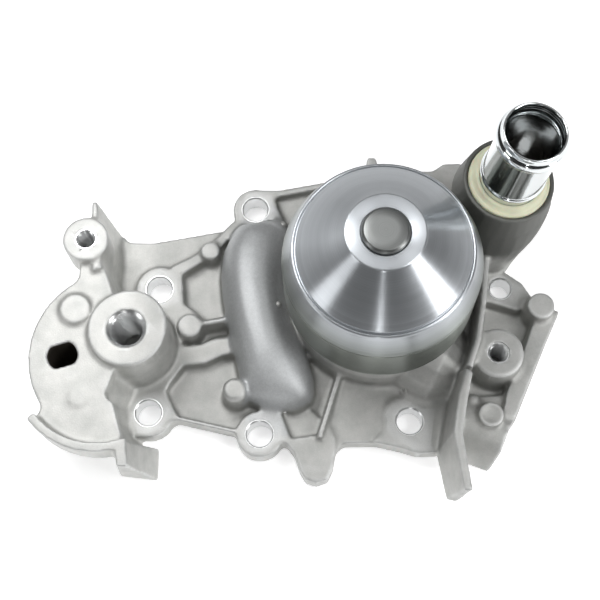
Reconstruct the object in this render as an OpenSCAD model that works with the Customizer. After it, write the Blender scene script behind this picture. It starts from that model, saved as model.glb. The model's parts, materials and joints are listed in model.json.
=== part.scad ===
// Engine coolant pump: one aluminium casting with a bolt flange, a raised tensioner plate, a volute
// bulge and a hose neck, and a belt pulley and an impeller on one shaft.
// The origin is where the pump axis meets the flange's mounting face. +Z points to the pulley.

/* [Pulley] */
// Outer diameter of the smooth belt face
pulley_d = 62; // [61:0.5:63]
// Height of the pulley's open back edge above the mounting face
pulley_back_z = 24; // [23.5:0.5:25]
// Width of the straight belt face
belt_face_w = 20.5; // [19:0.5:21]
// Wall thickness of the pulley cup
pulley_wall = 3; // [2:0.5:4]
// Outer diameter of the flat hub face
hub_face_d = 23.8; // [22:0.1:25]
// Height of the hub face above the mounting face
hub_face_z = 68.5; // [67:0.5:70]

/* [Shaft and bearing] */
// Diameter of the pump shaft
shaft_d = 14.5; // [14:0.1:14.8]
// How far the shaft stands out of the pulley's hub
shaft_proud = 1.7; // [0.5:0.1:2.5]
// Outer diameter of the shaft bearing
bearing_d = 30; // [29:0.5:31]
// Diameter of a bearing ball
ball_d = 5.5; // [5.4:0.05:5.6]
// Diameter of a bearing roller
roller_d = 4.9; // [4.6:0.1:4.9]
// Number of balls in the front row
ball_count = 8; // [6:1:9]
// Number of rollers in the rear row
roller_count = 9; // [7:1:10]

/* [Flange] */
// Height of the flange's raised lands
flange_t = 8; // [7:0.5:9]
// Thickness of the web in the flange's pockets
web_t = 3; // [2.5:0.25:4]
// Diameter of the five large bolt holes
bolt_hole_d = 8.4; // [8.2:0.1:9]
// Diameter of the small bolt hole
small_bolt_hole_d = 6.8; // [6.4:0.1:7]
// Thickness of the gasket
gasket_t = 0.8; // [0.5:0.1:1.5]

/* [Tensioner plate] */
// Height of the plate's top face
plate_top = 27; // [26:0.5:28]
// Thickness of the plate
plate_t = 4.5; // [4:0.5:6]
// Radius of the plate's round edge
plate_r = 28.6; // [27.5:0.1:29]
// Height of the curved lip's top
lip_top = 33; // [31:0.5:35]
// Height of the tensioner bolt boss
tensioner_boss_z = 30; // [29:0.5:31]
// Core diameter of the tensioner bolt's thread
tensioner_core_d = 10.2; // [8.5:0.1:10.2]

/* [Hose neck and tube] */
// Height of the neck's rim on the tube axis
neck_rim_z = 41; // [40:0.5:42]
// Lean of the neck and the tube towards +X, in degrees
neck_lean = 5; // [4:0.5:6]
// Outer diameter of the hose tube
tube_d = 20; // [19.5:0.25:20.5]
// Wall thickness of the hose tube
tube_wall = 1.2; // [1:0.1:1.5]
// Length of the tube above the neck's rim
tube_len = 34; // [30:1:36]

/* [Impeller] */
// Outer diameter of the impeller
impeller_d = 52; // [48:1:52.5]
// Number of vanes
vane_count = 7; // [5:1:9]
// Height of a vane
vane_h = 7.7; // [6:0.1:7.9]

/* [Hidden] */
$fn = 64;
eps = 0.01;

cast = "#b9bab6";
cast_dark = "#8f918f";
bright = "#cfd2d4";
steel = "#9ea2a4";
rubber = "#26282a";
cream = "#d8d8b4";

// Flange: places on the mounting face, [x, y]
large_holes = [[-73.5, 3.8], [-41.4, 32.5], [-75.6, -39], [-39.2, -46.2], [9.5, -42.2]];
large_lobe_r = [8.1, 7.7, 8.1, 7.7, 8];
small_hole = [41.2, 3];
chamber_r = 27;
chamber_top = 15;
dome_r = 30;
dome_top = 20.5;
tower_r = 18.6;
tower_top = 44.5;

// Tensioner plate
plate_at = [-83.1, -24.5];
boss_at = [-80.5, -16.7];
boss_r = 12.4;
guide_boss_at = [-95, 13.6];
guide_boss_r = 7.5;
guide_boss_base = 17;
guide_core_d = 5;
peg_at = [-100.9, -24.6];
peg_boss_r = 7.2;
peg_boss_z = 4;

// Belt cover boss
cover_boss_at = [38, -22];
cover_boss_r = 8.2;
cover_boss_z = 18;
cover_core_d = 5;

// Hose neck
neck_at = [40.9, 28.2];
neck_rim_r = 14.6;
neck_belly_r = 16.4;
neck_h = 11.5;
seal_seat_r = 13.1;
seal_seat_h = 8;
passage_r = 9;
port_at = [36.5, 17.5];

// Bearing
shaft_r = shaft_d / 2;
bearing_r = bearing_d / 2;
bearing_z0 = 21.5;
bearing_z1 = 46;
row_gap = 0.05;
race_r = 12.25;
pitch_r = shaft_r + row_gap + roller_d / 2;
ball_r = ball_d / 2;
roller_r = roller_d / 2;
ball_z = 40.5;
roller_z = 28.5;
roller_len = 8;
cage_half_t = 0.8;

// Shaft seal
seal_bore_r = 13;
seal_gap = 0.05;
disc_top = 0.8 + vane_h + 1.5;
seat_top = disc_top + 3;
carbon_top = seat_top + seal_gap + 2.4;
shaft_end_z = hub_face_z + shaft_proud;
impeller_z0 = 0.8;
impeller_hub_r = 10.5;

// ---------- shared shapes ----------

// A point on the smooth curve through b and c, t of the way from b to c
function on_curve(a, b, c, d, t) =
    0.5 * (2 * b + (c - a) * t + (2 * a - 5 * b + 4 * c - d) * t * t
    + (3 * b - a - 3 * c + d) * t * t * t);

// The smooth curve through a list of points, with `steps` pieces between each two
function curve(pts, steps) = [
    for (i = [0:len(pts) - 2], s = [0:steps - 1])
        on_curve(pts[max(i - 1, 0)], pts[i], pts[i + 1], pts[min(i + 2, len(pts) - 1)], s / steps),
    pts[len(pts) - 1]
];

// Six times the signed volume that the sides and the two end faces of a run of rings close in
function closed_volume(rings, n, last) =
    [for (k = [0:last - 1], j = [0:n - 1]) 1] * [
        for (k = [0:last - 1], j = [0:n - 1])
            let (a = rings[k][j], b = rings[k][(j + 1) % n], c = rings[k + 1][(j + 1) % n])
            a * cross(b, c) + a * cross(c, rings[k + 1][j])
    ] + [for (j = [0:n - 1]) 1] * [
        for (j = [0:n - 1])
            rings[last][0] * cross(rings[last][j], rings[last][(j + 1) % n])
            - rings[0][0] * cross(rings[0][j], rings[0][(j + 1) % n])
    ];

// A closed skin over rings of points, all rings with the same number of points
module skin(rings) {
    n = len(rings[0]);
    last = len(rings) - 1;
    outward = closed_volume(rings, n, last) > 0;
    ordered = outward ? rings : [for (k = [last:-1:0]) rings[k]];
    polyhedron([for (ring = ordered, p = ring) p], concat(
        [for (k = [0:last - 1], j = [0:n - 1])
            [(k + 1) * n + j, (k + 1) * n + (j + 1) % n, k * n + (j + 1) % n, k * n + j]],
        [[for (j = [0:n - 1]) j]],
        [[for (j = [n - 1:-1:0]) last * n + j]]
    ), convexity = 6);
}

// A solid between a low outline and a high outline with matching points
module between(low, z0, high, z1) {
    skin([[for (p = low) [p[0], p[1], z0]], [for (p = high) [p[0], p[1], z1]]]);
}

// A cosine or sine pushed towards 1 and -1. A power of 1 keeps an oval, and less makes it boxier
function boxy(v, power) = sign(v) * pow(abs(v), power);

// A lying tube of oval section. Each station is [x, y, z, half width, half height]
module duct(stations, grow = 0, steps = 2, sides = 16, power = 1) {
    path = curve(stations, steps);
    last = len(path) - 1;
    skin([
        for (k = [0:last])
            let (
                ahead = path[min(k + 1, last)] - path[max(k - 1, 0)],
                run = norm([ahead[0], ahead[1]]),
                side = [ahead[1], -ahead[0]] / run,
                w = max(path[k][3] + grow, 0.4),
                h = max(path[k][4] + grow, 0.4)
            )
            [for (j = [0:sides - 1])
                let (a = 360 * j / sides)
                let (across = w * boxy(cos(a), power), up = h * boxy(sin(a), power))
                [path[k][0] + side[0] * across, path[k][1] + side[1] * across, path[k][2] + up]]
    ]);
}

// An upright body of round level sections. Each station is [x, y, z, radius]
module stack(stations, steps = 2, sides = 24) {
    path = curve(stations, steps);
    skin([
        for (s = path)
            [for (j = [0:sides - 1]) [s[0] + s[3] * cos(360 * j / sides),
                s[1] + s[3] * sin(360 * j / sides), s[2]]]
    ]);
}

// An outline with its inner corners filled and its outer corners rounded
module soften(inner, outer) {
    offset(r = outer, $fn = 16) offset(r = -outer - inner, $fn = 16) offset(r = inner, $fn = 16)
        children();
}

// A ring around the pump axis
module ring(r0, r1, z0, z1) {
    translate([0, 0, z0]) difference() {
        cylinder(r = r1, h = z1 - z0);
        translate([0, 0, -1]) cylinder(r = r0, h = z1 - z0 + 2);
    }
}

// The tube's own frame: origin on the neck's rim, +Z up the tube
module on_neck() {
    translate([neck_at[0], neck_at[1], neck_rim_z]) rotate([0, neck_lean, 0]) children();
}

// ---------- housing ----------

flange_edge = [
    [-88, 26], [-85.5, 22], [-77, 21.6], [-67, 23.3], [-52, 26], [-47.5, 29], [-41, 40], [-33.3, 39.8],
    [-17.4, 42.7], [-3.4, 46], [-2.6, 51.9], [0.4, 51.9], [1.6, 47], [10.5, 46.9], [20, 46.5], [24, 49.3],
    [30, 49.5], [34, 42], [48, 30], [42, 14.7], [42.2, 9.7], [48.6, 5], [52, -0.5], [60.3, -5.6],
    [55.3, -16.2], [43.7, -42.2], [41, -46], [27, -44], [18.5, -52.5], [12, -52.8], [6.2, -51],
    [-1.8, -49.2], [-12, -49.4], [-14.4, -51.4], [-15.5, -57.5], [-17.3, -61.1], [-20.9, -62.3],
    [-24.4, -61.1], [-26.2, -58.2], [-28, -52.8], [-31.2, -48.6], [-39, -53.9], [-46.8, -46],
    [-66.4, -41.4], [-76, -47], [-84, -46.5],
    [-86, -30], [-88, -16]
];

module flange_outline() {
    soften(1.5, 0.8) union() {
        polygon(flange_edge);
        for (i = [0:len(large_holes) - 1]) translate(large_holes[i]) circle(r = large_lobe_r[i], $fn = 28);
    }
}

// Round bosses whose tops stay at the level of the lands
module land_rings() {
    for (i = [0:len(large_holes) - 1]) translate(large_holes[i]) circle(r = large_lobe_r[i], $fn = 28);
}

// Pockets between the lands: [floor height, outline]
pockets = [
    [web_t, [[-66, 9], [-55.5, 16], [-47.5, 25.5], [-40, 22], [-40, -5.5], [-52.2, -6], [-58.2, -7.2],
        [-61, -4.5], [-65.2, -1.2]]],
    [web_t, [[-58.1, -10.3], [-46, -7.4], [-44, -13], [-50, -13.4], [-55, -13.8], [-59.3, -15.6],
        [-64.8, -16.2], [-66, -13.6]]],
    [web_t, [[-64.5, -22.9], [-57.5, -22.4], [-51.9, -19.6], [-42, -18], [-36, -36], [-44, -41.5],
        [-46.8, -44.5], [-65.9, -40.1], [-68.7, -35.4], [-70.1, -31.4], [-68.9, -29]]],
    [web_t + 1, [[-32.3, -38.9], [-27, -34], [-19.5, -29], [-16.2, -37], [-20.2, -46.3], [-29, -47.6]]],
    [web_t, [[-34, -30], [-22, -20], [-12.5, -26], [-19, -44], [-19.2, -40.3], [-24.1, -36]]],
    [flange_t - 0.8, [[-11.2, -20], [-16.3, -43.3], [-14.6, -47.4], [-14, -53], [-3, -53], [-2.6, -49],
        [0.7, -45.6], [1, -42.6], [0.5, -39.6], [2, -36.4], [4.7, -34.5], [7.6, -33.8], [9, -28],
        [6, -20]]],
    [web_t, [[35.6, -1.3], [46.6, -4.9], [50.1, -3.2], [51.4, -9.3], [45.9, -19.6], [40.3, -33.5],
        [32.7, -33.9], [28.7, -36.9], [28.2, -30], [30.8, -25.8], [33, -12]]],
    [flange_t - 3, [[-96, 32], [-96, -5], [-76, -5], [-73.5, -4], [-73.5, 3.8], [-69.5, 12.2],
        [-63.8, 15], [-57.9, 18.8], [-54, 22.8], [-49.4, 28], [-50, 34]]],
    [web_t + 2, [[-34.6, 37], [-21, 39.6], [-10, 40], [-20, 28], [-31, 27], [-33.6, 33]]]
];

module flange() {
    difference() {
        linear_extrude(flange_t) flange_outline();
        for (p = pockets) translate([0, 0, p[0]]) linear_extrude(flange_t)
            difference() {
                soften(0.3, 1.2) polygon(p[1]);
                land_rings();
            }
    }
}

// The S-shaped bead and the two thin ribs between the pockets
module ribs() {
    duct([[-70, -19, 3, 2.6, 5.2], [-63, -18.2, 3, 2.6, 5.2], [-58.2, -17.6, 3, 2.6, 5.2],
        [-54.5, -15.2, 3, 2.6, 5.2], [-48, -14.2, 3, 2.6, 5.2]], sides = 16);
    between([[-62, -11.6], [-62, -9], [-47, -6.4], [-47, -9]], 0,
        [[-62, -11], [-62, -9.4], [-47, -6.8], [-47, -8.4]], 12);
    between([[-20.9, -47.8], [-18.7, -48.4], [-11, -24], [-13.2, -23.3]], 0,
        [[-20.5, -47.8], [-19, -48.2], [-11.3, -24], [-12.9, -23.5]], 11);
}

module post(at, r, z, grow = 0.6) {
    translate([at[0], at[1], 0]) cylinder(r1 = r + grow, r2 = r, h = z);
}

module posts() {
    post([-56.6, 17], 3.2, 9.6);
    post([-62.6, -10.4], 4, 12.5);
    post([-47, -33], 3.2, 15.6);
    post([-47, -33], 4, 14.6);
    post([53.3, -5.2], 4.4, 15);
    difference() {
        post([35.3, -41.3], 4, 14);
        translate([35.3, -41.3, 13.4]) cylinder(r = 2.9, h = 2);
    }
    translate([30.4, -35.7, 0]) cylinder(r = 2.4, h = 8);
    translate([30.4, -35.7, 8]) sphere(r = 2.4);
}

volute_path = [
    [-35, 29.5, 3, 2.5, 5], [-37, 24.5, 3.5, 9, 13], [-41, 14, 4, 11.5, 16], [-41.2, 2, 4, 11.2, 17],
    [-38.8, -11, 4, 10.8, 17], [-35.6, -21.5, 4, 11.6, 16.5], [-33.2, -30, 3.5, 12, 14.5],
    [-33, -35.2, 3, 11, 11.5], [-33.2, -38.2, 2, 6, 6.5]
];
scroll_path = [
    [-6, -12, 3, 6, 9], [0, -13.5, 3, 12.6, 14], [10, -17.5, 3, 14.4, 15.5], [21, -23, 3, 14.8, 15],
    [30, -27.6, 3, 8, 8]
];

module volute_bulge() {
    difference() {
        duct(volute_path, sides = 20, power = 0.8);
        translate([large_holes[1][0], large_holes[1][1], flange_t])
            cylinder(r = large_lobe_r[1] + 0.2, h = 20);
    }
    duct(scroll_path);
}

// Dome over the impeller and the tower that holds the bearing
module tower() {
    rotate_extrude($fn = 48) polygon([
        [0, 0], [dome_r, 0], [dome_r, 11], [dome_r - 0.7, 14], [dome_r - 2.4, 16.8], [dome_r - 5, 19],
        [dome_r - 8, dome_top], [tower_r + 1, dome_top], [tower_r, dome_top + 1],
        [tower_r, tower_top - 1], [tower_r - 1, tower_top], [0, tower_top]
    ]);
}

// Tensioner plate
module plate_outline() {
    soften(3, 0.8) union() {
        intersection() {
            translate(plate_at) circle(r = plate_r, $fn = 60);
            polygon([[-113, 5], [-90, 5], [-86, -4], [-80, -16], [-84, -29], [-87, -37.7], [-86.2, -44],
                [-81.8, -52], [-82, -56], [-113, -56]]);
        }
        intersection() {
            translate([-88, -30]) circle(r = 25.6, $fn = 60);
            polygon([[-108, -44], [-90, -36], [-84, -40], [-81, -50], [-81, -56], [-108, -56]]);
        }
        polygon([[-97.5, -3], [-97, 5], [-99, 12], [-91, 14], [-89.5, 6], [-88.3, 0], [-85.7, -4]]);
    }
}

module lip_outline() {
    intersection() {
        difference() {
            translate([-88, -30]) circle(r = 26.8, $fn = 56);
            translate([-87.8, -29.1]) circle(r = 24.7, $fn = 56);
        }
        polygon([[-113, -52], [-108.2, -45], [-104, -44], [-88, -50], [-78.5, -50], [-79, -60],
            [-110, -60]]);
    }
}

module tensioner_plate() {
    translate([0, 0, plate_top - plate_t]) linear_extrude(plate_t) plate_outline();
    translate([0, 0, plate_top - plate_t]) linear_extrude(lip_top - plate_top + plate_t)
        soften(0.2, 0.5) lip_outline();
    translate([boss_at[0], boss_at[1], 0]) cylinder(r1 = boss_r + 1.8, r2 = boss_r, h = tensioner_boss_z);
    translate([boss_at[0] + 0.9, boss_at[1] + 0.9, plate_top - plate_t])
        cylinder(r = boss_r - 0.5, h = tensioner_boss_z - plate_top + plate_t);
    translate([guide_boss_at[0], guide_boss_at[1], guide_boss_base])
        cylinder(r = guide_boss_r, h = tensioner_boss_z - guide_boss_base);
    translate([peg_at[0], peg_at[1], peg_boss_z]) cylinder(r = peg_boss_r, h = plate_top - 1 - peg_boss_z);
    translate([-97.5, -9.5, plate_top - 1]) cylinder(r = 5, h = 2.3);
    translate([-95.2, -38.2, plate_top - 1]) cylinder(r = 2.9, h = 1.3);
}

// Walls that carry the plate from the flange
module plate_walls() {
    between([[-90.6, 25.6], [-90.8, 12], [-90.5, 2], [-86.8, 2], [-86, 14], [-87.6, 25]], 0,
        [[-94, 27], [-93.6, 16], [-92.6, 3], [-89.6, 4], [-90.6, 16], [-92.1, 27]], plate_top + 2);
    between([[-91, 5], [-91, -12], [-84, -12], [-84, -3], [-86.8, 6]], 0,
        [[-92.6, 4], [-92.6, -12], [-85.5, -12], [-85.7, -3.7], [-89.3, 6]], plate_top);
    between([[-90, -16], [-90, -36], [-87, -44], [-84, -53], [-75, -53], [-80.5, -44], [-80.6, -38],
        [-77.5, -31], [-74, -26], [-76, -16]], 0,
        [[-92, -16], [-93, -36], [-92, -44], [-86, -54], [-82.5, -53.5], [-87, -44], [-88, -37.7],
        [-87, -31], [-84, -26], [-84, -16]], plate_top - 0.2);
    between([[-84.5, -50], [-84.5, -59], [-72, -60.5], [-72, -50]], 3,
        [[-82.6, -53.4], [-80.8, -61.4], [-77.6, -61.5], [-78.6, -53.4]], lip_top);
}

// Tall wall that leans out along the right of the pulley
module belt_wall() {
    between([[31.6, 12], [30.6, -6], [28.8, -18], [24, -28], [28, -30], [33.5, -18], [35.4, -6], [37.2, 12]],
        0,
        [[34.6, 12], [32.8, -5], [30.4, -18], [27.4, -26.4], [29.2, -27.6], [32.4, -18.4], [34.8, -5],
        [36.6, 12]], 20);
    between([[20.4, -39], [17.8, -52.4], [23.6, -52.4], [26.5, -39]], 3,
        [[24, -37], [22, -49.3], [24.8, -49.3], [27.2, -37]], 24);
    between([[24, -26], [20.4, -39.5], [26.5, -39.5], [28.5, -27]], 3,
        [[26.6, -28.6], [23.9, -37.5], [27.1, -37.5], [28.8, -30]], 24);
    between([[17.8, -52], [20.6, -67.2], [24, -68], [23.4, -52]], 5,
        [[22, -49], [24.6, -67.6], [27.2, -67.2], [24.8, -49]], 24);
}

// Sloping rail, cover boss and half barrel at the lower right
module right_side() {
    between([[60.1, -5.8], [52, -4], [46.2, -19.6], [39.6, -34], [38, -41], [43.5, -42], [55.1, -16.3]], 0,
        [[59.9, -5.9], [53, -5], [47.4, -19.2], [41, -33.6], [39.4, -41], [43.3, -41.8], [54.9, -16.4]], 11);
    translate([cover_boss_at[0], cover_boss_at[1], 0])
        cylinder(r1 = cover_boss_r + 0.7, r2 = cover_boss_r, h = cover_boss_z);
    intersection() {
        translate([33.5, -44.5, 0]) rotate([90, 0, -20 + 90]) cylinder(r = 11.6, h = 40, center = true);
        linear_extrude(14) polygon([[24.5, -36], [24.5, -54], [35, -57.4], [38.4, -52.6], [41, -46],
            [43.4, -42], [40, -34]]);
    }
}

module neck_body() {
    on_neck() translate([0, 0, -neck_h]) cylinder(r1 = neck_belly_r, r2 = neck_rim_r, h = neck_h);
    stack([[39.9, 28.2, 30.5, 16.35], [39.2, 25.5, 22, 15.4], [38, 22, 13, 12.6], [37, 18.6, 5, 10.4],
        [36.8, 18, 0, 10]]);
}

module bolt_hole(at, d) {
    translate([at[0], at[1], -5]) cylinder(d = d, h = 45, $fn = 64);
}

// A tapped hole's core with a countersunk mouth at height z
module tapped_hole(at, d, z, depth, mouth) {
    translate([at[0], at[1], z - depth]) cylinder(d = d, h = depth + 1);
    translate([at[0], at[1], z - mouth]) cylinder(d1 = d, d2 = d + 2 * mouth + 0.02, h = mouth + eps);
}

// Blind hole with two flats for the tensioner's peg
module peg_hole() {
    translate([peg_at[0], peg_at[1], peg_boss_z + 2]) linear_extrude(plate_top)
        rotate(17) intersection() {
            circle(d = 9.6);
            square([12, 7.4], center = true);
        }
}

module water_passages() {
    duct(volute_path, grow = -3.6, power = 0.8);
    translate([-27, -9, -1]) cylinder(r = 6.5, h = 11);
    on_neck() translate([0, 0, -16]) cylinder(r = passage_r, h = 20);
    translate([port_at[0], port_at[1], -1]) cylinder(r = passage_r - 1.5, h = 14);
    stack([[36.6, 17.7, 11.5, 7.2], [38.6, 23.5, 20, 8.6], [39.7, 27.6, 28, 9.2], [39.8, 28.2, 31, 9.2]]);
}

module bearing_bores() {
    translate([0, 0, chamber_top - 1]) cylinder(r = seal_bore_r, h = 6.3, $fn = 96);
    translate([0, 0, chamber_top]) cylinder(r = 11, h = 10);
    translate([0, 0, bearing_z0]) cylinder(r = bearing_r, h = 30, $fn = 96);
}

// The rough casting as one skin, before its machined holes. A zero size in resize() keeps the size
module casting() {
    resize([0, 0, 0]) difference() {
        union() {
            flange();
            ribs();
            posts();
            volute_bulge();
            tower();
            tensioner_plate();
            plate_walls();
            belt_wall();
            right_side();
            neck_body();
        }
        translate([-150, -150, -20]) cube([300, 300, 20]);
        water_passages();
        peg_hole();
    }
}

module housing() {
    color(cast) difference() {
        casting($fn = 32);
        translate([0, 0, -1]) cylinder(r = chamber_r, h = chamber_top + 1);
        bearing_bores();
        for (h = large_holes) bolt_hole(h, bolt_hole_d);
        bolt_hole(small_hole, small_bolt_hole_d);
        tapped_hole(boss_at, tensioner_core_d, tensioner_boss_z, 26, 1.3);
        tapped_hole(guide_boss_at, guide_core_d, tensioner_boss_z, 11, 0.5);
        tapped_hole(cover_boss_at, cover_core_d, cover_boss_z, 14, 0.6);
        on_neck() translate([0, 0, -seal_seat_h]) cylinder(r = seal_seat_r, h = 20);
        on_neck() translate([0, 0, -seal_seat_h - 6]) cylinder(r = tube_d / 2, h = 20);
    }
}

// ---------- pulley ----------

module pulley() {
    r = pulley_d / 2;
    hub_r = hub_face_d / 2;
    shoulder_z = pulley_back_z + belt_face_w;
    inner_r = r - pulley_wall;
    color(bright) rotate_extrude($fn = 128) polygon([
        [shaft_r + 0.4, hub_face_z], [hub_r, hub_face_z], [hub_r + 0.3, hub_face_z - 0.3],
        [hub_r + 7, hub_face_z - 5.9], [r - 4.4, shoulder_z + 10.6], [r - 4.2, shoulder_z + 10.3],
        [r - 3.6, shoulder_z + 10.1], [r - 3.1, shoulder_z + 9.5], [r - 2.8, shoulder_z + 8.6],
        [r - 1.4, shoulder_z + 4.6], [r - 0.6, shoulder_z + 2.4], [r - 0.15, shoulder_z + 0.9],
        [r, shoulder_z - 0.4], [r, pulley_back_z + 0.4], [r - 0.4, pulley_back_z],
        [inner_r + 0.4, pulley_back_z], [inner_r, pulley_back_z + 0.4], [inner_r, shoulder_z],
        [inner_r - 1.5, shoulder_z + 4.5], [inner_r - 3.6, shoulder_z + 8], [13.4, hub_face_z - 5],
        [12.4, hub_face_z - 7], [12.4, hub_face_z - 16], [11.9, hub_face_z - 16.5],
        [shaft_r + 0.4, hub_face_z - 16.5], [shaft_r, hub_face_z - 16.1], [shaft_r, hub_face_z - 0.4]
    ]);
}

// ---------- shaft and bearing ----------

module shaft() {
    color(steel) difference() {
        union() {
            translate([0, 0, impeller_z0]) cylinder(r1 = shaft_r - 0.6, r2 = shaft_r, h = 0.6);
            translate([0, 0, impeller_z0 + 0.6])
                cylinder(r = shaft_r, h = shaft_end_z - impeller_z0 - 1.5);
            translate([0, 0, shaft_end_z - 0.9]) cylinder(r1 = shaft_r, r2 = shaft_r - 0.9, h = 0.9);
        }
        translate([0, 0, ball_z]) rotate_extrude() translate([pitch_r, 0]) circle(r = ball_r + row_gap);
    }
}

module bearing_outer_ring() {
    color(steel) difference() {
        ring(race_r, bearing_r, bearing_z0, bearing_z1);
        translate([0, 0, ball_z]) rotate_extrude() translate([pitch_r, 0]) circle(r = ball_r + row_gap);
    }
}

module around(count) {
    for (i = [0:count - 1]) rotate(360 * i / count) translate([pitch_r, 0, 0]) children();
}

module front_balls() {
    color(bright) translate([0, 0, ball_z]) around(ball_count) sphere(r = ball_r);
}

module rear_rollers() {
    color(bright) translate([0, 0, roller_z - roller_len / 2]) around(roller_count)
        cylinder(r = roller_r, h = roller_len);
}

module front_cage() {
    color("#c9b58a") difference() {
        ring(pitch_r - cage_half_t, pitch_r + cage_half_t, ball_z - 3.6, ball_z + 3.6);
        translate([0, 0, ball_z]) around(ball_count) rotate([0, 90, 0])
            cylinder(r = ball_r + 0.08, h = 6, center = true);
    }
}

module rear_cage() {
    color("#c9b58a") difference() {
        ring(pitch_r - cage_half_t, pitch_r + cage_half_t, roller_z - 5.3, roller_z + 5.3);
        translate([0, 0, roller_z - roller_len / 2 - 0.08]) around(roller_count)
            cylinder(r = roller_r + 0.08, h = roller_len + 0.16);
    }
}

module bearing_seal(z0) {
    color(rubber) ring(shaft_r + 0.1, race_r, z0, z0 + 1.4);
}

module front_bearing_seal() {
    bearing_seal(bearing_z1 - 1.4);
}

module rear_bearing_seal() {
    bearing_seal(bearing_z0);
}

// ---------- shaft seal ----------

// Pressed cup with a flange against the chamber's roof
module seal_case() {
    color(bright) rotate_extrude() polygon([
        [seal_bore_r, chamber_top], [seal_bore_r, 20.2], [9, 20.2], [9, 19.5], [12.3, 19.5],
        [12.3, chamber_top - 0.7], [15, chamber_top - 0.7], [15, chamber_top]
    ]);
}

module seal_bellows() {
    color(rubber) rotate_extrude() polygon([
        [8.1, 19.5], [11.6, 19.5], [11.6, 19], [9.1, 19], [9.1, 17.4], [9.7, 16.9], [9.1, 16.4],
        [9.1, carbon_top + 0.5], [11.6, carbon_top + 0.5], [11.6, carbon_top], [8.1, carbon_top],
        [8.1, 18.5]
    ]);
}

module seal_spring() {
    wire_r = 0.45;
    coil_r = 10.6;
    turns = 2.5;
    low = carbon_top + 0.5 + wire_r + 0.05;
    rise = 19 - wire_r - 0.05 - low;
    color(steel) skin([
        for (k = [0:turns * 20])
            let (a = 18 * k, z = low + rise * k / (turns * 20))
            [for (j = [0:7]) let (b = 45 * j, r = coil_r + wire_r * cos(b))
                [r * cos(a), r * sin(a), z + wire_r * sin(b)]]
    ]);
}

module seal_drive_band() {
    color(bright) ring(11.65, 12.1, carbon_top - 1.4, 18.6);
}

module carbon_face() {
    color("#3a3b3d") ring(8.4, 11.6, seat_top + seal_gap, carbon_top);
}

module seat_cup() {
    color(rubber) rotate_extrude() polygon([
        [shaft_r, disc_top], [13, disc_top], [13, seat_top - 0.8], [12, seat_top - 0.8],
        [12, disc_top + 0.8], [8.2, disc_top + 0.8], [8.2, seat_top - 0.8], [shaft_r, seat_top - 0.8]
    ]);
}

module mating_ring() {
    color("#e6e2d6") ring(8.2, 12, disc_top + 0.8, seat_top);
}

// ---------- impeller ----------

module impeller_hub() {
    color(steel) ring(shaft_r, impeller_hub_r, impeller_z0, disc_top);
}

// Backplate with curved vanes below it
module impeller() {
    vane_r = 19;
    vane_t = 2;
    color("#5b4d3f") union() {
        ring(impeller_hub_r, impeller_d / 2, disc_top - 1.5, disc_top);
        ring(impeller_hub_r, impeller_hub_r + 2, impeller_z0, disc_top);
        translate([0, 0, impeller_z0]) linear_extrude(vane_h + 0.2) intersection() {
            difference() {
                circle(d = impeller_d - 0.4);
                circle(r = impeller_hub_r + 1);
            }
            for (i = [0:vane_count - 1]) rotate(360 * i / vane_count) translate([vane_r - 1.5, 10])
                difference() {
                    circle(r = vane_r);
                    circle(r = vane_r - vane_t);
                    translate([-60, -30]) square([60 - 3, 80]);
                    translate([-10, 0]) square([60, 60]);
                }
        }
    }
}

// ---------- gasket ----------

module gasket() {
    color("#6c6f73") translate([0, 0, -gasket_t]) difference() {
        linear_extrude(gasket_t) offset(delta = -0.5) flange_outline();
        translate([0, 0, -1]) cylinder(r = chamber_r + 0.6, h = 4, $fn = 96);
        for (h = large_holes) bolt_hole(h, bolt_hole_d + 0.6);
        bolt_hole(small_hole, small_bolt_hole_d + 0.6);
        translate([port_at[0], port_at[1], -1]) cylinder(r = passage_r - 1, h = 4);
        translate([0, 0, -3]) linear_extrude(8) projection(cut = true) duct(volute_path, grow = -3);
        translate([-27, -9, -1]) cylinder(r = 7, h = 4);
    }
}

// ---------- hose tube ----------

module outlet_tube() {
    r = tube_d / 2;
    bore = r - tube_wall;
    top = tube_len;
    color(bright) on_neck() rotate_extrude($fn = 96) polygon([
        [bore, -seal_seat_h - 5.5], [r, -seal_seat_h - 5.5], [r, 5], [r + 0.55, 5.6], [r + 0.55, 6.6],
        [r, 7.2], [r, top - 7], [r + 0.5, top - 6.4], [r + 1, top - 5.4], [r + 1.15, top - 4.4],
        [r + 1, top - 3.4], [r + 0.4, top - 2.4], [r - 0.1, top - 1.8], [r - 0.2, top - 0.9],
        [r - 0.35, top - 0.2], [r - 0.75, top], [r - 1.15, top - 0.3], [r - 1.2, top - 1.6],
        [bore + 0.3, top - 2.4], [bore + 0.9, top - 3.4], [bore + 0.95, top - 5.2], [bore, top - 6.6]
    ]);
}

// Sealing ring around the foot of the tube
module tube_seal() {
    r = tube_d / 2;
    color(cream) on_neck() rotate_extrude($fn = 96) polygon([
        [r, -seal_seat_h], [seal_seat_r, -seal_seat_h], [seal_seat_r, -0.1], [seal_seat_r - 0.7, 0.8],
        [r + 1.2, 2.2], [r, 2.4]
    ]);
}

housing();
pulley();
shaft();
bearing_outer_ring();
front_balls();
front_cage();
rear_rollers();
rear_cage();
front_bearing_seal();
rear_bearing_seal();
seal_case();
seal_bellows();
seal_spring();
seal_drive_band();
carbon_face();
seat_cup();
mating_ring();
impeller_hub();
impeller();
gasket();
outlet_tube();
tube_seal();
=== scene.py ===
"""Engine coolant pump: the finished look of the casting, the pulley, the hose tube, the impeller and
the shaft seal, built around the pump's working frame."""

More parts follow.
